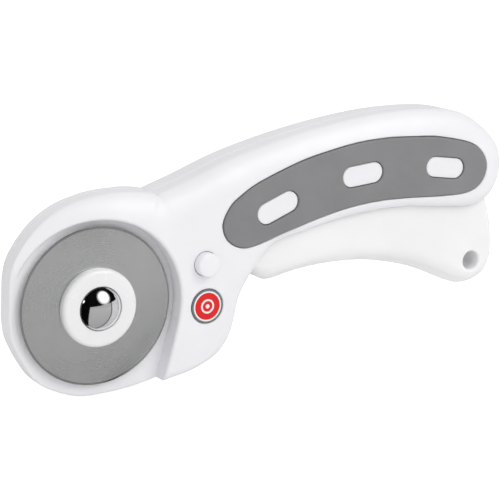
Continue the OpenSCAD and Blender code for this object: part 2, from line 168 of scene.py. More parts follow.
INLAY_OUTLINE = [
    (38.1, 19.4), (40.5, 24.2), (43.8, 26.9), (50.2, 30.4), (63.4, 34.9), (73.7, 37.2),
    (84, 38.8), (94.7, 39.3), (105.6, 38.8), (113.1, 38.1), (124.5, 35.4), (129.4, 32.2),
    (131.5, 27.6), (129.6, 22.6), (124.6, 20.1), (115, 19.9), (103, 20.6), (91.6, 20.8),
    (80.9, 19.9), (70.4, 17.9), (60.1, 15.2), (49, 12.3), (44, 12.1), (39.6, 14.7)]
LEVER_OUTLINE = [
    (49.4, 9.6, 0.2), (54, 13.2, 0.2), (62, 15, 0.2), (75, 17.5, 0.2), (86, 18.8, 0.2),
    (101, 19.2, 0.2), (116, 18.3, 0.2), (128, 17.9, 0.2), (133.8, 17.2, 0.3),
    (136.3, 13.7, 0.5), (137.9, 8.1, 0.6), (138.9, 2, 0.7), (138.7, -4, 0.8),
    (136.4, -8.5, 0.9), (132.2, -10.9, 1), (127.8, -11.3, 1), (123.4, -10, 1),
    (115.8, -6.5, 1), (108, -3.3, 1), (100.3, -1.1, 1), (92.8, 0.5, 1), (85.5, 1.3, 1),
    (78.3, 1.5, 1), (71.2, 1.2, 1), (64.2, 0.4, 1), (57.2, -0.8, 1), (53.5, 0.4, 0.8),
    (49.2, 3.6, 0.5)]
LEVER_ARM = [(31, 1), (38, 2.5), (47, 9), (51, 11.5), (51, 5), (47.5, 3.4), (42, 0), (38, -5.4)]
LEVER_HUB_R = 6.0
LEVER_WALL = 2.0
LEVER_EDGE = 6.0                           # rounding of the lever's lower edge
LEVER_ARM_EDGE, LEVER_ARM_FILL = 0.4, 0.6  # rounding of the arm, and of the corner it makes
LEVER_HOLLOW_X = 58                        # the lever is solid in front of this
LEVER_HOLLOW_EDGE = 0.3
LEVER_OPEN_X, LEVER_OPEN_HALF, LEVER_OPEN_Z = 95, 37, 10    # the part of the top that is open
WEB_SHIFT, WEB_HALF = 1.7, 6.3             # the web below the spring
ARM_SLOT_Y, ARM_SLOT_HALF, ARM_SLOT_X = -1.2, 1.0, 52.4     # the slot that holds the blade arm
# The room in the shells in which the lever swings
LEVER_SPACE = [
    (40, -1.5), (46, 12.5), (60, 17.5), (80, 20.5), (101, 22), (128, 20.8), (137.3, 22.6),
    (137.3, 17.2), (142, 17.2), (142, -1), (60, -1), (50, -1.5)]
# Where the recess isn't round: down the right of the blade, and open below and to the left
RECESS_EXIT = [(23.9, -6.5), (21.9, -13.5), (19.3, -22), (17.6, -27.5), (17.6, -FAR),
               (-FAR, -FAR), (-FAR, -8)]
WINDOWS = [(56, 22.4, 20.7), (85.3, 29.2, 4.7), (115.5, 28.5, -8.6)]   # x, z, angle
WINDOW_L, WINDOW_W = 14.1, 6.3


# ---------------------------------------------------------------- distance fields


def smooth_outline(points, steps=8):
    """Closed Catmull-Rom curve through the points; any further numbers of a point are carried along."""
    p = np.array(points, float)
    a, b, c, d = np.roll(p, 1, 0), p, np.roll(p, -1, 0), np.roll(p, -2, 0)
    t = np.linspace(0, 1, steps, endpoint=False)[None, :, None]
    a, b, c, d = (q[:, None, :] for q in (a, b, c, d))
    curve = 0.5 * (2 * b + (c - a) * t + (2 * a - 5 * b + 4 * c - d) * t ** 2
                   + (3 * b - a - 3 * c + d) * t ** 3)
    return curve.reshape(-1, p.shape[1])


def outline_distance(outline, x, z):
    """Signed distance to a closed outline, negative inside, and the nearest point's share."""
    x, z = np.broadcast_arrays(x, z)
    nearest = np.full(x.shape, np.inf, np.float32)
    share = np.zeros(x.shape, np.float32)
    inside = np.zeros(x.shape, bool)
    outline = np.array(outline, np.float32)
    for p, q in zip(outline, np.roll(outline, -1, 0)):
        dx, dz = q[0] - p[0], q[1] - p[1]
        t = np.clip(((x - p[0]) * dx + (z - p[1]) * dz) / (dx * dx + dz * dz + 1e-12), 0, 1)
        gap = (x - p[0] - t * dx) ** 2 + (z - p[1] - t * dz) ** 2
        closer = gap < nearest
        nearest = np.where(closer, gap, nearest)
        if outline.shape[1] > 2:
            share = np.where(closer, p[2] + t * (q[2] - p[2]), share)
        if dz != 0:
            inside ^= ((p[1] > z) != (q[1] > z)) & (x < dx * (z - p[1]) / dz + p[0])
    return np.where(inside, -1, 1) * np.sqrt(nearest), share


def disc_distance(centre, r, x, z):
    return np.hypot(x - centre[0], z - centre[1]) - r


def stadium_distance(x, z, centre_x, centre_z, angle, length, width):
    """Signed distance to a straight slot with round ends."""
    c, s = math.cos(math.radians(angle)), math.sin(math.radians(angle))
    along = (x - centre_x) * c + (z - centre_z) * s
    across = (z - centre_z) * c - (x - centre_x) * s
    half = (length - width) / 2
    return np.hypot(np.maximum(np.abs(along) - half, 0), across) - width / 2


def window_distance(x, z):
    return np.minimum.reduce([
        stadium_distance(x, z, cx, cz, angle, WINDOW_L, WINDOW_W) for cx, cz, angle in WINDOWS])


def round_max(a, b, r):
    """Intersection of two fields with its edge rounded to radius r."""
    corner = np.hypot(np.maximum(a + r, 0), np.maximum(b + r, 0))
    return np.minimum(np.maximum(a, b), -r) + corner


def round_min(a, b, r):
    """Union of two fields with its inner corner filled to radius r."""
    return -round_max(-a, -b, r)


def shouldered(d, u, height, width, depth):
    """Slab of half thickness height whose edge is a quarter ellipse, width across and depth deep."""
    q1 = np.maximum(width + d, 0) / width
    q2 = np.maximum(u - height + depth, 0) / depth
    scale = (q1 * width + q2 * depth + 1e-3 * depth) / (q1 + q2 + 1e-3)
    return (np.hypot(q1, q2) - 1) * scale


def capsule_slot(x, z, r, drop):
    """Signed distance to the slot that a round boss sweeps when it moves down."""
    return np.hypot(x, z - np.clip(z, -drop, 0)) - r


# ---------------------------------------------------------------- meshes from fields


def grid_axes(low, high, steps):
    """Grid coordinates of a box, offset so that no plane of the grid falls on a whole millimetre."""
    return [np.arange(a - 2 * s, b + 2.5 * s, s, dtype=np.float32) + np.float32(0.37 * s)
            for a, b, s in zip(low, high, steps)]


def sample(field, places):
    """Trilinear sample of a field at places given in grid units."""
    top = np.array(field.shape) - 2
    base = np.clip(np.floor(places).astype(int), 0, top)
    f = places - base
    i, j, k = base.T
    total = 0
    for di in (0, 1):
        for dj in (0, 1):
            for dk in (0, 1):
                weight = (np.abs(1 - di - f[:, 0]) * np.abs(1 - dj - f[:, 1])
                          * np.abs(1 - dk - f[:, 2]))
                total = total + weight * field[i + di, j + dj, k + dk]
    return total


def field_normals(field, places, steps):
    """Unit gradient of a field at places given in grid units."""
    parts = []
    for axis in range(3):
        shift = np.zeros(3)
        shift[axis] = 0.5
        parts.append((sample(field, places + shift) - sample(field, places - shift)) / steps[axis])
    normals = np.stack(parts, 1)
    return normals / np.maximum(np.linalg.norm(normals, axis=1, keepdims=True), 1e-9)


def mesh_from_field(name, field_of, low, high, steps):
    """Turns the zero surface of field_of(x, y, z) into a smooth object named name."""
    xs, ys, zs = grid_axes(low, high, steps)
    field = field_of(xs[:, None, None], ys[None, :, None], zs[None, None, :])
    field = np.ascontiguousarray(np.broadcast_to(field, (len(xs), len(ys), len(zs))), np.float32)
    volume = openvdb.FloatGrid(1.0)
    volume.copyFromArray(np.clip(field, -FIELD_BAND, FIELD_BAND))
    points, triangles, quads = volume.convertToPolygons(isovalue=0.0, adaptivity=0.0)
    normals = field_normals(field, points.astype(float), steps)
    origin = np.array([xs[0], ys[0], zs[0]])
    mesh = bpy.data.meshes.new(name)
    faces = [tuple(f) for f in triangles.tolist()] + [tuple(f) for f in quads.tolist()]
    mesh.from_pydata(((origin + points * np.array(steps)) * MM).tolist(), [], faces)
    mesh.validate()
    mesh.shade_smooth()
    mesh.normals_split_custom_set_from_vertices(normals.tolist())
    return add_object(name, mesh)


def add_object(name, mesh):
    obj = bpy.data.objects.new(name, mesh)
    bpy.context.scene.collection.objects.link(obj)
    return obj


def place(obj, body, slot, material, *nodes):
    """Gives a finished piece its material and its body, and hides the CAD nodes it stands for."""
    obj.data.materials.clear()
    obj.data.materials.append(material)
    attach(obj, body)
    if nodes:
        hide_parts(*nodes)


# ---------------------------------------------------------------- moulded pieces
#
# In a field, d is the distance to the piece's outline and u the height above the parting plane.


def ridge_rise(x, z, start, end):
    """Rise of the ridge over the head, from 0 on the thin rim to 1 at the handle's face."""
    angle = np.degrees(np.arctan2(z, x))
    angle = np.where(angle < -90, angle + 360, angle)
    t = np.clip((start - angle) / (start - end), 0, 1)
    return t * t * (3 - 2 * t)


def shell_outside(d, share, recess, height, head_y, band_y, u):
    """The thick handle with its rounded shoulder and the blade's recess, joined to the thin head."""
    width = SHOULDER_W * share
    depth = np.minimum((HANDLE_Y - band_y) * share ** SHOULDER_POWER, height - head_y)
    depth = np.maximum(depth, SHOULDER_LEAST)
    thick = shouldered(d, u, height, width, depth)
    thick = round_max(thick, -recess, RECESS_EDGE)
    plate = round_max(d, u - head_y, HEAD_EDGE)
    return np.minimum(plate, thick)


def shell_hollow(d, recess, height, head_y, x, u, z):
    """The inside of a shell, which leaves its screw bosses and the spring's seat standing."""
    roof = HOLLOW_Y - ROOF_FALL * (HANDLE_Y - height)
    hollow = np.maximum(np.maximum(d + WALL, HEAD_WALL - recess), u - roof)
    head_hollow = np.maximum(d + HEAD_SIDE_WALL, u - head_y + HEAD_WALL)
    space, _ = outline_distance(LEVER_SPACE, x, z)
    hollow = np.minimum(np.minimum(hollow, head_hollow), np.maximum(space, u - HOLLOW_Y))
    for s in SCREWS:
        hollow = np.maximum(hollow, -disc_distance(s, BOSS_R, x, z))
    seat_height = np.abs(z - SEAT_Z - SEAT_T / 2) - SEAT_T / 2
    seat = np.maximum(np.abs(x - SPRING_X) - SEAT_HALF, seat_height)
    return np.maximum(hollow, -seat)


def with_bores(shell, side, head_y, x, u, z):
    """The shell with the axle's slot, the lock's bore, the badge's pocket, and pin and screw holes."""
    slot = capsule_slot(x, z, SLEEVE_R + SLEEVE_GAP, AXLE_TRAVEL)
    shell = np.maximum(shell, -np.maximum(slot, u - head_y - SLOT_OVERCUT))
    shell = round_max(shell, -disc_distance(LOCK, LOCK_R + LOCK_GAP, x, z), LOCK_EDGE)
    if side < 0:
        badge = disc_distance(BADGE, BADGE_POCKET_R, x, z)
        badge = np.maximum(badge, HANDLE_Y - BADGE_POCKET_DEPTH - u)
        shell = round_max(shell, -badge, BADGE_POCKET_EDGE)
    pin = np.maximum(disc_distance(PIVOT, PIN_R + TIGHT_GAP, x, z), u - PIN_END_Y)
    shell = np.maximum(shell, -pin)
    for s in SCREWS:
        bore = disc_distance(s, SCREW_R + TIGHT_GAP, x, z)
        if side < 0:
            shell = np.maximum(shell, -np.maximum(bore, u - SCREW_TIP_Y))
        else:
            seat = np.maximum(disc_distance(s, SCREW_HEAD_R, x, z), SCREW_SEAT_Y - u)
            shell = round_max(np.maximum(shell, -bore), -seat, SCREW_SEAT_EDGE)
    return shell


def shell_field(side):
    """Field of one half of the handle and head; side is -1 for the front and 1 for the rear."""
    head_y = HEAD_FRONT if side < 0 else HEAD_REAR
    band_y = SHOULDER_FRONT if side < 0 else SHOULDER_REAR
    ridge = RIDGE_FRONT if side < 0 else RIDGE_REAR
    outline = smooth_outline(BODY_OUTLINE)
    inlay = smooth_outline(INLAY_OUTLINE)
    recess_outline = [(RECESS_R * math.cos(a), RECESS_R * math.sin(a)) for a in RECESS_ARC]
    recess_outline += RECESS_EXIT

    def field(x, y, z):
        u = side * y
        d, share = outline_distance(outline, x, z)
        recess, _ = outline_distance(recess_outline, x, z)
        height = head_y + (HANDLE_Y - head_y) * ridge_rise(x, z, *ridge)
        outer = shell_outside(d, share, recess, height, head_y, band_y, u)
        shell = np.maximum(outer, -shell_hollow(d, recess, height, head_y, x, u, z))
        pocket = np.maximum(outline_distance(inlay, x, z)[0] - INLAY_GAP, INLAY_FLOOR - u)
        pocket = np.maximum(pocket, -window_distance(x, z))
        shell = round_max(shell, -pocket, POCKET_EDGE)
        shell = with_bores(shell, side, head_y, x, u, z)
        return round_max(shell, PARTING_GAP - u, PARTING_EDGE)

    return field


def build_shell(name, side, material):
    low, high = node_box(name)
    low, high = low - GRID_MARGIN, high + GRID_MARGIN
    steps = (STEP, STEP * 0.8, STEP)
    shell = mesh_from_field(name + "_moulding", shell_field(side), low, high, steps)
    place(shell, "handle", "shell_white", material, name)


def inlay_field(side):
    inlay = smooth_outline(INLAY_OUTLINE)

    def field(x, y, z):
        u = side * y
        d, _ = outline_distance(inlay, x, z)
        body = round_max(d, u - INLAY_Y, INLAY_EDGE)
        body = round_max(body, -(window_distance(x, z) - INLAY_GAP), WINDOW_EDGE)
        return np.maximum(body, INLAY_FLOOR + TIGHT_GAP - u)

    return field


def build_inlay(name, side, material):
    low, high = node_box(name)
    steps = (FINE_STEP * 1.3, FINE_STEP * 0.7, FINE_STEP * 1.3)
    inlay = mesh_from_field(name + "_moulding", inlay_field(side), low, high, steps)
    place(inlay, "handle", "grip_grey", material, name)


def lever_field():
    """Field of the hollow lever, with its arm to the pivot, its hang hole and the web for the spring."""
    outline = smooth_outline(LEVER_OUTLINE)

    def field(x, y, z):
        u = np.abs(y)
        d, share = outline_distance(outline, x, z)
        edge = LEVER_EDGE * share
        grip = shouldered(d, u, LEVER_Y, edge, edge)
        arm = outline_distance(LEVER_ARM, x, z)[0]
        arm = np.minimum(arm, disc_distance(PIVOT, LEVER_HUB_R, x, z))
        body = round_min(grip, round_max(arm, u - LEVER_Y, LEVER_ARM_EDGE), LEVER_ARM_FILL)

        open_top = np.maximum(np.abs(x - LEVER_OPEN_X) - LEVER_OPEN_HALF, LEVER_OPEN_Z - z)
        inside = np.minimum(d + LEVER_WALL, open_top)
        web = np.maximum(np.abs(x - SPRING_X - WEB_SHIFT) - WEB_HALF, z - SPRING_LOW[2])
        inside = np.maximum(inside, -web)
        inside = np.maximum(inside, -disc_distance(HANG_HOLE, HANG_BOSS_R, x, z))
        inside = np.maximum(np.maximum(inside, LEVER_HOLLOW_X - x), u - LEVER_Y + LEVER_WALL)
        body = round_max(body, -inside, LEVER_HOLLOW_EDGE)

        slot = np.maximum(np.abs(y - ARM_SLOT_Y) - ARM_SLOT_HALF, x - ARM_SLOT_X)
        body = np.maximum(body, -slot)
        body = np.maximum(body, -disc_distance(PIVOT, PIN_R + RUNNING_GAP, x, z))
        return round_max(body, -disc_distance(HANG_HOLE, HANG_R, x, z), HANG_EDGE)

    return field


def build_lever(material):
    low, high = node_box("trigger_lever")
    lever = mesh_from_field("trigger_lever_moulding", lever_field(), low, high, (STEP, STEP, STEP))
    place(lever, "lever", "lever_white", material, "trigger_lever")


# ---------------------------------------------------------------- turned pieces


def filleted(points, radii, steps=6):
    """Closed or open profile whose corners are replaced by arcs of the given radii."""
    result = []
    count = len(points)
    for i, (p, r) in enumerate(zip(points, radii)):
        if r == 0:
            result.append(tuple(p))
            continue
        p = Vector(p)
        a = (Vector(points[(i - 1) % count]) - p).normalized()
        b = (Vector(points[(i + 1) % count]) - p).normalized()
        half = a.angle(b) / 2
        reach = r / math.tan(half)
        centre = p + (a + b).normalized() * (r / math.sin(half))
        start, end = p + a * reach - centre, p + b * reach - centre
        turn = start.angle_signed(end)
        for k in range(steps + 1):
            angle = -turn * k / steps
            c, s = math.cos(angle), math.sin(angle)
            result.append((centre.x + start.x * c - start.y * s, centre.y + start.x * s + start.y * c))
    return result


def rib_height(ribs, r, y, angle):
    """How far the ribs (count, depth, least radius, end in y) stand out at a point of a profile."""
    count, depth, least_r, end_y = ribs
    if r <= least_r:
        return 0.0
    fade = min(1.0, max(0.0, end_y - y))
    return depth * fade * abs(math.cos(count * angle / 2)) ** 3


def lathe(name, profile, centre=(0.0, 0.0), segments=160, ribs=None):
    """Turns a closed profile of (radius, y) about the line along Y through centre."""
    bm = bmesh.new()
    rings = []
    for k in range(segments):
        angle = 2 * math.pi * k / segments
        ring = []
        for r, y in profile:
            if ribs:
                r += rib_height(ribs, r, y, angle)
            ring.append(bm.verts.new(((centre[0] + r * math.cos(angle)) * MM, y * MM,
                                      (centre[1] + r * math.sin(angle)) * MM)))
        rings.append(ring)
    count = len(profile)
    for k in range(segments):
        a, b = rings[k], rings[(k + 1) % segments]
        for i in range(count):
            j = (i + 1) % count
            bm.faces.new((a[i], a[j], b[j], b[i]))
    bmesh.ops.remove_doubles(bm, verts=bm.verts, dist=WELD)
    bmesh.ops.dissolve_degenerate(bm, edges=bm.edges, dist=WELD)
    bmesh.ops.recalc_face_normals(bm, faces=bm.faces)
    mesh = bpy.data.meshes.new(name)
    bm.to_mesh(mesh)
    bm.free()
    mesh.shade_smooth()
    mesh.set_sharp_from_angle(angle=SHARP_ANGLE)
    return add_object(name, mesh)


def arc_points(centre, r, start, end, steps):
    """Points along an arc from the angle start to the angle end, in degrees."""
    angles = [math.radians(start + (end - start) * k / steps) for k in range(steps + 1)]
    return [(centre[0] + r * math.cos(a), centre[1] + r * math.sin(a)) for a in angles]


def build_blade(material):
    middle = (BLADE_FRONT + BLADE_REAR) / 2
    profile = [(BLADE_HOLE_R, BLADE_REAR), (BLADE_HOLE_R, BLADE_FRONT),
               (BLADE_R - BEVEL_W, BLADE_FRONT), (BLADE_R, middle), (BLADE_R - BEVEL_W, BLADE_REAR)]
    blade = lathe("blade_disc", profile, segments=256)
    place(blade, "blade", "blade_steel", material, "blade")


def build_collar(material):
    """Round cap over the blade, with a cup for the bolt's head in its face."""
    floor_y, bore = COLLAR_FRONT + CUP_DEPTH, AXLE_R + RUNNING_GAP
    rear_edge, front_edge, lip_edge, floor_edge = 0.3, 1.3, 0.3, 0.2
    profile = filleted(
        [(bore, COLLAR_REAR), (COLLAR_R, COLLAR_REAR), (COLLAR_R, COLLAR_FRONT),
         (CUP_R, COLLAR_FRONT), (CUP_R, floor_y), (bore, floor_y)],
        [0, rear_edge, front_edge, lip_edge, floor_edge, 0])
    collar = lathe("blade_collar_moulding", profile)
    place(collar, "lever", "collar_white", material, "blade_collar")


def build_bolt(material):
    """Bolt with a shallow domed head that stands in the collar's cup, and a chamfered end."""
    base_y, chamfer = COLLAR_FRONT + CUP_DEPTH, 0.4
    rise = COLLAR_FRONT - BOLT_FRONT
    ball_r = (DOME_R ** 2 + rise ** 2) / (2 * rise)
    span = math.degrees(math.asin(DOME_R / ball_r))
    dome = [(max(r, 0.0), y) for r, y in
            arc_points((0, BOLT_FRONT + ball_r), ball_r, -90, -90 + span, 28)]
    profile = dome + [(DOME_R, base_y), (AXLE_R, base_y), (AXLE_R, BOLT_END - chamfer),
                      (AXLE_R - chamfer, BOLT_END), (0.0, BOLT_END)]
    bolt = lathe("axle_bolt_turned", profile)
    place(bolt, "lever", "bolt_chrome", material, "axle_bolt")


def build_nut(material):
    """Ribbed thumb nut, dished at the rear, with a pocket for its insert at the front."""
    low, high = node_box("thumb_nut")
    front, rear = low[1], high[1]
    r, bore, insert_r, insert_depth = 9.0, AXLE_R + 0.1, 4.22, 3.4
    dish_r, dish_floor_r, dish_depth, dish_edge = 6.4, 5.6, 0.6, 0.5
    front_edge, rear_edge = 0.3, 0.9
    rib_count, rib_depth, rib_start = 18, 0.68, r - 1.0
    profile = filleted(
        [(bore, front + insert_depth), (insert_r, front + insert_depth), (insert_r, front),
         (r, front), (r, rear), (dish_r, rear), (dish_floor_r, rear - dish_depth),
         (bore, rear - dish_depth)],
        [0, 0, 0, front_edge, rear_edge, dish_edge, dish_edge, 0])
    nut = lathe("thumb_nut_moulding", profile, segments=360,
                ribs=(rib_count, rib_depth, rib_start, rear))
    place(nut, "nut", "nut_black", material, "thumb_nut")


def front_lock_stem(inner):
    """Flange, thick part, thin part and plug of the lock's front half, from its face inwards."""
    flange_y, flange_end, thick_end, thin_end, plug_r = -7.0, -6.2, -2.5, 1.0, 1.6
    return [(LOCK_R, flange_y), (LOCK_FLANGE_R, flange_y), (LOCK_FLANGE_R, flange_end),
            (LOCK_THICK_R, flange_end), (LOCK_THICK_R, thick_end), (LOCK_THIN_R, thick_end),
            (LOCK_THIN_R, thin_end), (plug_r, thin_end), (plug_r, inner), (0.0, inner)]


def rear_lock_stem(inner):
    """Flange, thin part and socket of the lock's rear half, from its face inwards."""
    flange_y, flange_end, socket_r, socket_end = 4.4, 3.6, 1.62, 5.2
    return [(LOCK_R, flange_y), (LOCK_FLANGE_R, flange_y), (LOCK_FLANGE_R, flange_end),
            (LOCK_THIN_R, flange_end), (LOCK_THIN_R, inner), (socket_r, inner),
            (socket_r, socket_end), (0.0, socket_end)]


def build_button(name, side, material):
    """One half of the push-through lock, with a softly domed face."""
    low, high = node_box(name)
    face, inner = (high[1], low[1]) if side > 0 else (low[1], high[1])
    ball_r, crown_inset = 24.0, 0.5
    crown_end = math.degrees(math.asin((LOCK_R - crown_inset) / ball_r))
    crown = arc_points((0, face - side * ball_r), ball_r, side * 90, side * (90 - crown_end), 8)
    crown = [(max(spot, 0.0), y) for spot, y in crown]
    rim = crown[-1][1]
    edge = [(LOCK_R - inset, rim - side * drop) for inset, drop in ((0.32, 0.06), (0.12, 0.2), (0, 0.5))]
    stem = rear_lock_stem(inner) if side > 0 else front_lock_stem(inner)
    button = lathe(name + "_moulding", crown + edge + stem, centre=LOCK, segments=96)
    place(button, "lock", "button_white", material, name)


def ring_profile(r_in, r_out, top, base, edge):
    """Cross-section of a flat ring, raised towards -Y, with rounded upper corners."""
    if r_in == 0:
        corner = arc_points((r_out - edge, top + edge), edge, 0, -90, 4)
        return [(0.0, base), (r_out, base)] + corner + [(0.0, top)]
    return filleted([(r_in, base), (r_out, base), (r_out, top), (r_in, top)], [0, 0, edge, edge])


def badge_layer(part, radii, sunk, base, edge, segments, material, *nodes):
    """One flat ring or disc of the badge, sunk below the badge's top."""
    profile = ring_profile(*radii, BADGE_TOP + sunk, base, edge)
    layer = lathe("badge_" + part, profile, BADGE, segments)
    place(layer, "handle", "badge_red", material, *nodes)


def build_badge(red, white, grey):
    """Enamelled disc with a rim and a band around it, and a plain ring and dot on it."""
    floor_y, symbol_base = BADGE_TOP + 1.25, BADGE_TOP + 0.12
    badge_layer("rim", (4.45, 5.0), 0.0, floor_y, 0.15, 96, grey)
    badge_layer("band", (3.95, 4.44), 0.06, floor_y, 0.08, 96, white)
    badge_layer("disc", (0, 3.94), 0.1, floor_y, 0.08, 96, red, "badge")
    badge_layer("symbol_ring", (1.55, 2.1), 0.0, symbol_base, 0.05, 72, white)
    badge_layer("symbol_dot", (0, 0.62), 0.0, symbol_base, 0.05, 48, white)


def build_spring(material):
    """Coil spring with closed end turns."""
    turns, wire, sides, steps = 8.0, 0.4, 12, 40
    end_climb, squeezed = 0.045, 0.48      # an end turn's share of the height; share left when squeezed
    r = (SPRING_HIGH[1] - SPRING_LOW[1]) / 2 - wire + 0.04
    low, high = SPRING_LOW[2] + wire, SPRING_HIGH[2] - wire
    bm = bmesh.new()
    rings = []
    total = int(turns * steps)
    for i in range(total + 1):
        share = i / total
        climb = np.interp(share, [0, 1 / turns, 1 - 1 / turns, 1], [0, end_climb, 1 - end_climb, 1])
        angle = 2 * math.pi * turns * share
        out = Vector((math.cos(angle), math.sin(angle), 0))
        centre = out * r + Vector((SPRING_X, 0, low + (high - low) * climb))
        ring = []
        for k in range(sides):
            side = 2 * math.pi * k / sides
            spot = centre + out * (wire * math.cos(side)) + Vector((0, 0, wire * math.sin(side)))
            ring.append(bm.verts.new(spot * MM))
        rings.append(ring)
    for a, b in zip(rings, rings[1:]):
        for k in range(sides):
            bm.faces.new((a[k], a[(k + 1) % sides], b[(k + 1) % sides], b[k]))
    bm.faces.new(rings[0])
    bm.faces.new(rings[-1])
    bmesh.ops.recalc_face_normals(bm, faces=bm.faces)
    mesh = bpy.data.meshes.new("return_spring_coil")
    bm.to_mesh(mesh)
    bm.free()
    mesh.shade_smooth()
    spring = add_object("return_spring_coil", mesh)
    place(spring, "handle", "spring_steel", material, "return_spring")
    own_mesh(spring)


# ---------------------------------------------------------------- materials


class Nodes:
    """Adds and links shader nodes. Noise scales are per metre, and bump distances are in metres."""

    def __init__(self, tree):
        self.tree = tree

    def add(self, kind, values=None, **settings):
        node = self.tree.nodes.new(kind)
        for key, value in settings.items():
            setattr(node, key, value)
        for key, value in (values or {}).items():
            if isinstance(value, bpy.types.NodeSocket):
                self.tree.links.new(value, node.inputs[key])
            else:
                node.inputs[key].default_value = value
        return node

    def noise(self, vector, scale, detail=3.0, roughness=0.5):
        return self.add("ShaderNodeTexNoise", {
            "Vector": vector, "Scale": scale, "Detail": detail, "Roughness": roughness}).outputs["Fac"]

    def spread(self, value, low, high, from_low=0.0, from_high=1.0):
        """Maps from_low..from_high to low..high, and clamps beyond."""
        return self.add("ShaderNodeMapRange", {
            "Value": value, "From Min": from_low, "From Max": from_high,
            "To Min": low, "To Max": high}).outputs["Result"]

    def mix(self, factor, a, b):
        """Mix of two colours; inputs 0, 6, 7 and output 2 are the node's colour sockets."""
        node = self.add("ShaderNodeMix", data_type="RGBA")
        for socket, value in ((node.inputs[0], factor), (node.inputs[6], a), (node.inputs[7], b)):
            if isinstance(value, bpy.types.NodeSocket):
                self.tree.links.new(value, socket)
            else:
                socket.default_value = value
        return node.outputs[2]

    def math(self, operation, a, b):
        node = self.add("ShaderNodeMath", operation=operation)
        for socket, value in zip(node.inputs, (a, b)):
            if isinstance(value, bpy.types.NodeSocket):
                self.tree.links.new(value, socket)
            else:
                socket.default_value = value
        return node.outputs[0]

    def bump(self, height, strength, distance, normal=None):
        values = {"Height": height, "Strength": strength, "Distance": distance}
        if normal is not None:
            values["Normal"] = normal
        return self.add("ShaderNodeBump", values).outputs["Normal"]


def new_material(name):
    """Empty material with its nodes, its shader and the object coordinates."""
    material = bpy.data.materials.new(name)
    material.use_nodes = True
    tree = material.node_tree
    tree.nodes.clear()
    nodes = Nodes(tree)
    shader = nodes.add("ShaderNodeBsdfPrincipled")
    nodes.add("ShaderNodeOutputMaterial", {"Surface": shader.outputs[0]})
    at = nodes.add("ShaderNodeTexCoord").outputs["Object"]
    return material, nodes, shader, at


def set_inputs(nodes, shader, **values):
    for key, value in values.items():
        socket = shader.inputs[key.replace("_", " ")]
        if isinstance(value, bpy.types.NodeSocket):
            nodes.tree.links.new(value, socket)
        else:
            socket.default_value = value


def shades(colour, darker, lighter):
    """A colour's darker and lighter version, as colours with alpha."""
    return [c * darker for c in colour] + [1.0], [min(1.0, c * lighter) for c in colour] + [1.0]


def edge_mask(nodes, low, high):
    """1 on worn convex edges, 0 elsewhere."""
    pointiness = nodes.add("ShaderNodeNewGeometry").outputs["Pointiness"]
    return nodes.spread(pointiness, 0.0, 1.0, low, high)


def plastic(name, colour, roughness, grain, coat=0.0, scatter=0.0):
    """Moulded plastic: faint flow variation, a fine eroded grain and slightly polished edges."""
    material, nodes, shader, at = new_material(name)
    flow = nodes.noise(at, 45.0, 4.0)
    dark, light = shades(colour, 0.965, 1.03)
    tint = nodes.mix(nodes.spread(flow, 0.0, 1.0, 0.35, 0.65), dark, list(colour) + [1.0])
    polished = edge_mask(nodes, 0.52, 0.60)
    tint = nodes.mix(nodes.math("MULTIPLY", polished, 0.5), tint, light)
    fine = nodes.noise(at, 2600.0, 2.0, 0.6)
    handling = nodes.noise(at, 160.0, 5.0, 0.6)
    rough = nodes.spread(handling, roughness * 0.86, roughness * 1.14, 0.3, 0.7)
    rough = nodes.math("SUBTRACT", rough, nodes.math("MULTIPLY", polished, roughness * 0.25))
    ripple = nodes.bump(flow, 0.03, 0.0004)
    normal = nodes.bump(fine, grain, 0.00003, ripple)
    set_inputs(nodes, shader, Base_Color=tint, Roughness=rough, Normal=normal, IOR=1.5,
               Coat_Weight=coat, Coat_Roughness=0.12, Subsurface_Weight=scatter,
               Subsurface_Radius=(1.0, 1.0, 1.0), Subsurface_Scale=2.0 * MM)
    return material


def soft_grip(name, colour):
    """Soft-touch rubber: dull, with a fine pebble grain and a little dust in it."""
    material, nodes, shader, at = new_material(name)
    cloud = nodes.noise(at, 70.0, 5.0, 0.6)
    dark, light = shades(colour, 0.93, 1.06)
    tint = nodes.mix(nodes.spread(cloud, 0.0, 1.0, 0.3, 0.7), dark, light)
    pebble = nodes.add("ShaderNodeTexVoronoi", {"Vector": at, "Scale": 2400.0},
                       feature="SMOOTH_F1").outputs["Distance"]
    fine = nodes.noise(at, 3000.0, 3.0, 0.7)
    rough = nodes.spread(cloud, 0.5, 0.62, 0.3, 0.7)
    normal = nodes.bump(pebble, 0.10, 0.00004, nodes.bump(fine, 0.12, 0.00003))
    set_inputs(nodes, shader, Base_Color=tint, Roughness=rough, Normal=normal, IOR=1.46,
               Sheen_Weight=0.12, Sheen_Roughness=0.5)
    return material


def radius_about_axis(nodes, at):
    """Distance from the blade's axis, which runs along Y."""
    parts = nodes.add("ShaderNodeSeparateXYZ", {"Vector": at})
    flat = nodes.add("ShaderNodeCombineXYZ", {"X": parts.outputs["X"], "Z": parts.outputs["Z"]})
    return nodes.add("ShaderNodeVectorMath", {0: flat.outputs[0]}, operation="LENGTH").outputs["Value"]


def turned_grain(nodes, at, scale, detail=2.0):
    """Noise that only changes with the radius, so it reads as circular grinding."""
    radius = radius_about_axis(nodes, at)
    line = nodes.add("ShaderNodeCombineXYZ", {"X": radius})
    return nodes.noise(line.outputs[0], scale, detail, 0.7)


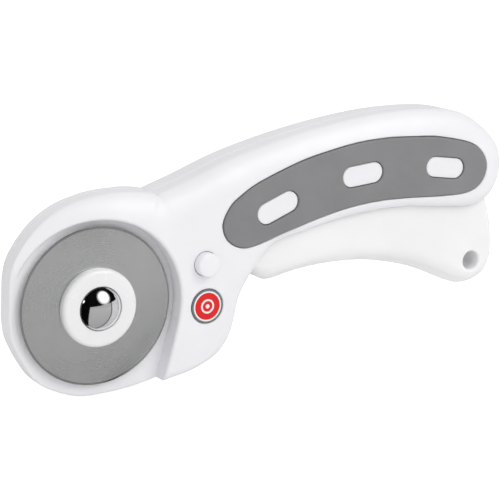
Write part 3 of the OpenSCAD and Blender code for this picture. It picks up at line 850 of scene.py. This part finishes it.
def ground_blade(name, colour):
    """Ground blade steel: fine circular grain, a more polished bevel whose colour is darkened as painted
    shade and painted dark reflection, faint stains.
    """
    material, nodes, shader, at = new_material(name)
    grain = turned_grain(nodes, at, 2200.0)
    cloud = nodes.noise(at, 60.0, 4.0)
    dark, light = shades(colour, 0.95, 1.05)
    tint = nodes.mix(nodes.spread(cloud, 0.0, 1.0, 0.3, 0.7), dark, light)
    bevel_r, blend = BLADE_R - BEVEL_W, 0.02
    bevel = nodes.spread(radius_about_axis(nodes, at), 0.0, 1.0, (bevel_r - blend) * MM,
                         (bevel_r + blend) * MM)
    rough = nodes.spread(nodes.mix(0.5, grain, cloud), 0.26, 0.30, 0.3, 0.7)
    rough = nodes.math("MULTIPLY", rough, nodes.spread(bevel, 1.0, 0.45))
    # painted shade and painted reflection: the bevel's colour is pulled towards dark grey to stand in
    # for the shadow and the dark reflection along the blade's edge
    tint = nodes.mix(nodes.math("MULTIPLY", bevel, 0.45), tint, [0.1, 0.1, 0.1, 1.0])
    normal = nodes.bump(grain, 0.025, 0.00002)
    set_inputs(nodes, shader, Base_Color=tint, Metallic=1.0, Roughness=rough, Normal=normal,
               Anisotropic=0.4)
    return material


def metal(name, colour, roughness, grain_scale=900.0, scratch=0.15):
    """Machined or rolled steel with directional grain, scratches and brighter edges."""
    material, nodes, shader, at = new_material(name)
    stretch = nodes.add("ShaderNodeMapping", {"Vector": at, "Scale": (0.05, 1.0, 1.0)}).outputs[0]
    grain = nodes.noise(stretch, grain_scale, 4.0, 0.7)
    cloud = nodes.noise(at, 120.0, 4.0)
    dark, bright = shades(colour, 0.82, 1.25)
    tint = nodes.mix(nodes.spread(cloud, 0.0, 1.0, 0.3, 0.7), dark, list(colour) + [1.0])
    worn = edge_mask(nodes, 0.51, 0.58)
    tint = nodes.mix(nodes.math("MULTIPLY", worn, 0.6), tint, bright)
    rough = nodes.spread(grain, roughness * 0.8, roughness * 1.2, 0.3, 0.7)
    normal = nodes.bump(grain, scratch, 0.00002)
    set_inputs(nodes, shader, Base_Color=tint, Metallic=1.0, Roughness=rough, Normal=normal)
    return material


def polished_chrome(name):
    """Mirror chrome with hairline polishing marks and a trace of haze."""
    material, nodes, shader, at = new_material(name)
    hair = turned_grain(nodes, at, 3000.0)
    haze = nodes.noise(at, 300.0, 4.0)
    rough = nodes.spread(nodes.mix(0.5, hair, haze), 0.03, 0.09, 0.35, 0.65)
    normal = nodes.bump(hair, 0.02, 0.00001)
    tint = nodes.mix(haze, [0.78, 0.78, 0.79, 1.0], [0.9, 0.9, 0.91, 1.0])
    set_inputs(nodes, shader, Base_Color=tint, Metallic=1.0, Roughness=rough, Normal=normal)
    return material


# ---------------------------------------------------------------- stage

ROOM_GREY = (0.46, 0.455, 0.455, 1.0)
EDGE_GREY = (0.12, 0.12, 0.12, 1.0)
TABLE_WHITE = (0.66, 0.66, 0.67, 1.0)
FLAG_BLACK = (0.002, 0.002, 0.002, 1.0)
MIRROR_BLUR = 0.02                         # softness of the edges in the mirrored room

# A reflection that leans far enough in one of these directions sees that thing.
TABLE_SIDE, TABLE_EDGE = (0.597, 0.777, -0.206), (-0.02, 0.06)
LEFT_FLAG_SIDE, LEFT_FLAG_START = (-0.786, 0.612, 0.086), 0.0
UPPER_FLAG_SIDE, UPPER_FLAG_START = (-0.06, 0.1, 0.99), 0.05
FRONT, FRONT_START = (0, -1, 0), -0.3

FLOOR_GAP = 0.004                          # metres between the object and the floor
SURROUND_BELOW, SURROUND_ABOVE = (0.25, 0.25, 0.265, 1.0), (0.97, 0.97, 0.96, 1.0)
SURROUND_UP = (0.25, -0.25, 0.9)
BACKDROP_WHITE = (1.0, 1.0, 1.0, 1.0)
SOFTBOX_TOWARDS, SOFTBOX_ANGLES, SOFTBOX_WHITE = (0.40, -0.70, 0.59), (14, 29), (1.5, 1.5, 1.5, 1.0)
SPOT_TOWARDS, SPOT_ANGLES, SPOT_WHITE = (-0.86, -0.29, 0.42), (4, 8), (2.0, 2.0, 2.0, 1.0)


def mirrored_room(nodes, direction):
    """What a reflection sees: a grey room in front, a white table with a dark edge, and black
    flags to the left and above. Behind the object there are no flags."""

    def beyond(side, start):
        dot = nodes.add("ShaderNodeVectorMath", {0: direction, 1: side}, operation="DOT_PRODUCT")
        return nodes.spread(dot.outputs["Value"], 0.0, 1.0, start - MIRROR_BLUR, start + MIRROR_BLUR)

    room = nodes.mix(beyond(TABLE_SIDE, TABLE_EDGE[0]), ROOM_GREY, EDGE_GREY)
    room = nodes.mix(beyond(TABLE_SIDE, TABLE_EDGE[1]), room, TABLE_WHITE)
    left_flag = beyond(LEFT_FLAG_SIDE, LEFT_FLAG_START)
    upper_flag = beyond(UPPER_FLAG_SIDE, UPPER_FLAG_START)
    flags = nodes.math("MAXIMUM", left_flag, upper_flag)
    flags = nodes.math("MULTIPLY", flags, beyond(FRONT, FRONT_START))
    return nodes.mix(flags, room, FLAG_BLACK)


def studio_world():
    """Soft surround that is lighter above. The camera sees plain white, and a reflection sees the
    mirrored room with a round softbox and a small spot in it."""
    world = bpy.data.worlds.new("studio")
    bpy.context.scene.world = world
    world.use_nodes = True
    tree = world.node_tree
    tree.nodes.clear()
    nodes = Nodes(tree)
    direction = nodes.add("ShaderNodeTexCoord").outputs["Generated"]

    def facing(towards):
        axis = Vector(towards).normalized()
        dot = nodes.add("ShaderNodeVectorMath", {0: direction, 1: axis}, operation="DOT_PRODUCT")
        return dot.outputs["Value"]

    def lobe(towards, inner, outer):
        """1 within the inner angle of a direction, 0 outside the outer angle, in degrees."""
        return nodes.spread(facing(towards), 0.0, 1.0, math.cos(math.radians(outer)),
                            math.cos(math.radians(inner)))

    level = nodes.spread(facing(SURROUND_UP), 0.0, 1.0, -0.8, 0.9)
    surround = nodes.mix(level, SURROUND_BELOW, SURROUND_ABOVE)

    seen = mirrored_room(nodes, direction)
    seen = nodes.mix(lobe(SOFTBOX_TOWARDS, *SOFTBOX_ANGLES), seen, SOFTBOX_WHITE)
    seen = nodes.mix(lobe(SPOT_TOWARDS, *SPOT_ANGLES), seen, SPOT_WHITE)
    path = nodes.add("ShaderNodeLightPath")
    colour = nodes.mix(path.outputs["Is Glossy Ray"], surround, seen)
    colour = nodes.mix(path.outputs["Is Camera Ray"], colour, BACKDROP_WHITE)
    background = nodes.add("ShaderNodeBackground", {"Color": colour, "Strength": 1.0})
    nodes.add("ShaderNodeOutputWorld", {"Surface": background.outputs[0]})


def area_light(name, towards, distance, size, power, target):
    """Round soft light at a distance from the target, in the direction towards."""
    data = bpy.data.lights.new(name, "AREA")
    data.shape = "DISK"
    data.size = size
    data.energy = power
    lamp = bpy.data.objects.new(name, data)
    bpy.context.scene.collection.objects.link(lamp)
    lamp.location = target + Vector(towards).normalized() * distance
    lamp.rotation_mode = "QUATERNION"
    lamp.rotation_quaternion = (target - lamp.location).to_track_quat("-Z", "Y")
    return lamp


def pale_floor(z):
    """Large floor that curves up into a backdrop far behind the object.

    A reflection sees the same mirrored room in it as in the world, and the camera sees it glow a
    little, so that it stays pale."""
    material, nodes, shader, at = new_material("pale_floor")
    paper = nodes.noise(at, 400.0, 4.0)
    tint = nodes.mix(paper, [0.93, 0.93, 0.93, 1], [0.96, 0.96, 0.96, 1])
    path = nodes.add("ShaderNodeLightPath")
    direction = nodes.add("ShaderNodeVectorMath", {0: at}, operation="NORMALIZE").outputs["Vector"]
    tint = nodes.mix(path.outputs["Is Glossy Ray"], tint, mirrored_room(nodes, direction))
    glow_strength = 0.45
    glow = nodes.math("MULTIPLY", path.outputs["Is Camera Ray"], glow_strength)
    set_inputs(nodes, shader, Base_Color=tint, Roughness=0.9, Normal=nodes.bump(paper, 0.05, 0.0002),
               Emission_Color=[1, 1, 1, 1], Emission_Strength=glow, Specular_IOR_Level=0.0)
    half, back, rise, bend = 4.0, 3.0, 4.0, 1.0
    outline = [(-half, z), (back - bend, z)]
    outline += [(back - bend + bend * math.sin(a), z + bend - bend * math.cos(a))
                for a in np.linspace(0.1, math.pi / 2, 12)]
    outline.append((back, z + rise))
    verts = [(side * half, y, height) for y, height in outline for side in (-1, 1)]
    faces = [(2 * i, 2 * i + 1, 2 * i + 3, 2 * i + 2) for i in range(len(outline) - 1)]
    mesh = bpy.data.meshes.new("floor")
    mesh.from_pydata(verts, [], faces)
    mesh.shade_smooth()
    mesh.materials.append(material)
    floor = add_object("floor", mesh)


def build_camera():
    """Camera at the viewing angle: to the left of the blade side and slightly above."""
    azimuth, elevation, distance = math.radians(-30.0), math.radians(13.8), 0.455
    target = Vector((0.0525, 0.0, 0.0082))
    back = Vector((math.sin(azimuth) * math.cos(elevation), -math.cos(azimuth) * math.cos(elevation),
                   math.sin(elevation)))
    data = bpy.data.cameras.new("camera")
    data.lens, data.sensor_width = 111.4, 36.0
    data.clip_start, data.clip_end = 0.01, 20.0
    camera = bpy.data.objects.new("camera", data)
    bpy.context.scene.collection.objects.link(camera)
    camera.location = target + back * distance
    camera.rotation_mode = "QUATERNION"
    camera.rotation_quaternion = (-back).to_track_quat("-Z", "Y")
    bpy.context.scene.camera = camera


# ---------------------------------------------------------------- assembly

WHITE = (0.83, 0.824, 0.855)
white = plastic("white_moulding", WHITE, 0.42, 0.10)
# painted light: the lever's white is set lighter than the shells' white so that the lever, shaded under
# the handle's lip, comes out brighter
lever_white = plastic("lever_moulding", (0.86, 0.857, 0.868), 0.42, 0.10, scatter=0.3)
gloss_white = plastic("gloss_moulding", (0.82, 0.82, 0.83), 0.25, 0.05)
grey_grip = soft_grip("grip_rubber", (0.215, 0.215, 0.222))
badge_red = plastic("badge_enamel_red", (0.72, 0.0, 0.002), 0.6, 0.04)
badge_white = plastic("badge_enamel_white", (0.86, 0.84, 0.83), 0.22, 0.04, 0.6)
badge_grey = plastic("badge_enamel_grey", (0.14, 0.17, 0.19), 0.3, 0.04, 0.4)
black_nut = plastic("nut_moulding", (0.045, 0.045, 0.05), 0.5, 0.35)
blade_steel = ground_blade("blade_steel", (0.69, 0.70, 0.70))
chrome = polished_chrome("chrome")

build_shell("front_shell", -1, white)
build_shell("rear_shell", 1, white)
build_inlay("front_grip_inlay", -1, grey_grip)
build_inlay("rear_grip_inlay", 1, grey_grip)
build_lever(lever_white)
build_blade(blade_steel)
build_collar(gloss_white)
build_bolt(chrome)
build_nut(black_nut)
build_button("lock_button_front", -1, white)
build_button("lock_button_rear", 1, white)
build_badge(badge_red, badge_white, badge_grey)
build_spring(metal("spring_wire", (0.55, 0.55, 0.57), 0.3, 1500.0))

CAD_METALS = {
    "shell_screws": metal("zinc_screw", (0.50, 0.50, 0.52), 0.35),
    "pivot_pin": metal("ground_pin", (0.60, 0.60, 0.62), 0.22),
    "arm_rivets": metal("rivet_steel", (0.58, 0.58, 0.60), 0.30),
    "blade_arm": metal("rolled_plate", (0.56, 0.56, 0.58), 0.38, 500.0, 0.25),
    "axle_sleeve": metal("turned_sleeve", (0.50, 0.50, 0.52), 0.30),
    "blade_bush": metal("turned_bush", (0.50, 0.50, 0.52), 0.30),
    "slide_washer": metal("stamped_washer", (0.60, 0.60, 0.62), 0.33, 700.0, 0.2),
    "spring_washer": metal("spring_washer_steel", (0.45, 0.45, 0.47), 0.35),
    "nut_insert": metal("turned_brass", (0.76, 0.58, 0.26), 0.28),
}
for node_name, finish in CAD_METALS.items():
    cad_mesh = frame["nodes"][node_name].data
    cad_mesh.materials.clear()
    cad_mesh.materials.append(finish)

bpy.context.scene.view_settings.view_transform = "Standard"
studio_world()
centre = (cad_box[0] + cad_box[1]) / 2
area_light("key", towards=(0.5, -0.95, 0.9), distance=0.9, size=0.6, power=2.15, target=centre)
fill = area_light("fill", towards=(-0.9, -0.55, 0.1), distance=0.9, size=0.5, power=0.7, target=centre)
fill.visible_glossy = False
pale_floor(cad_box[0].z - FLOOR_GAP)
build_camera()
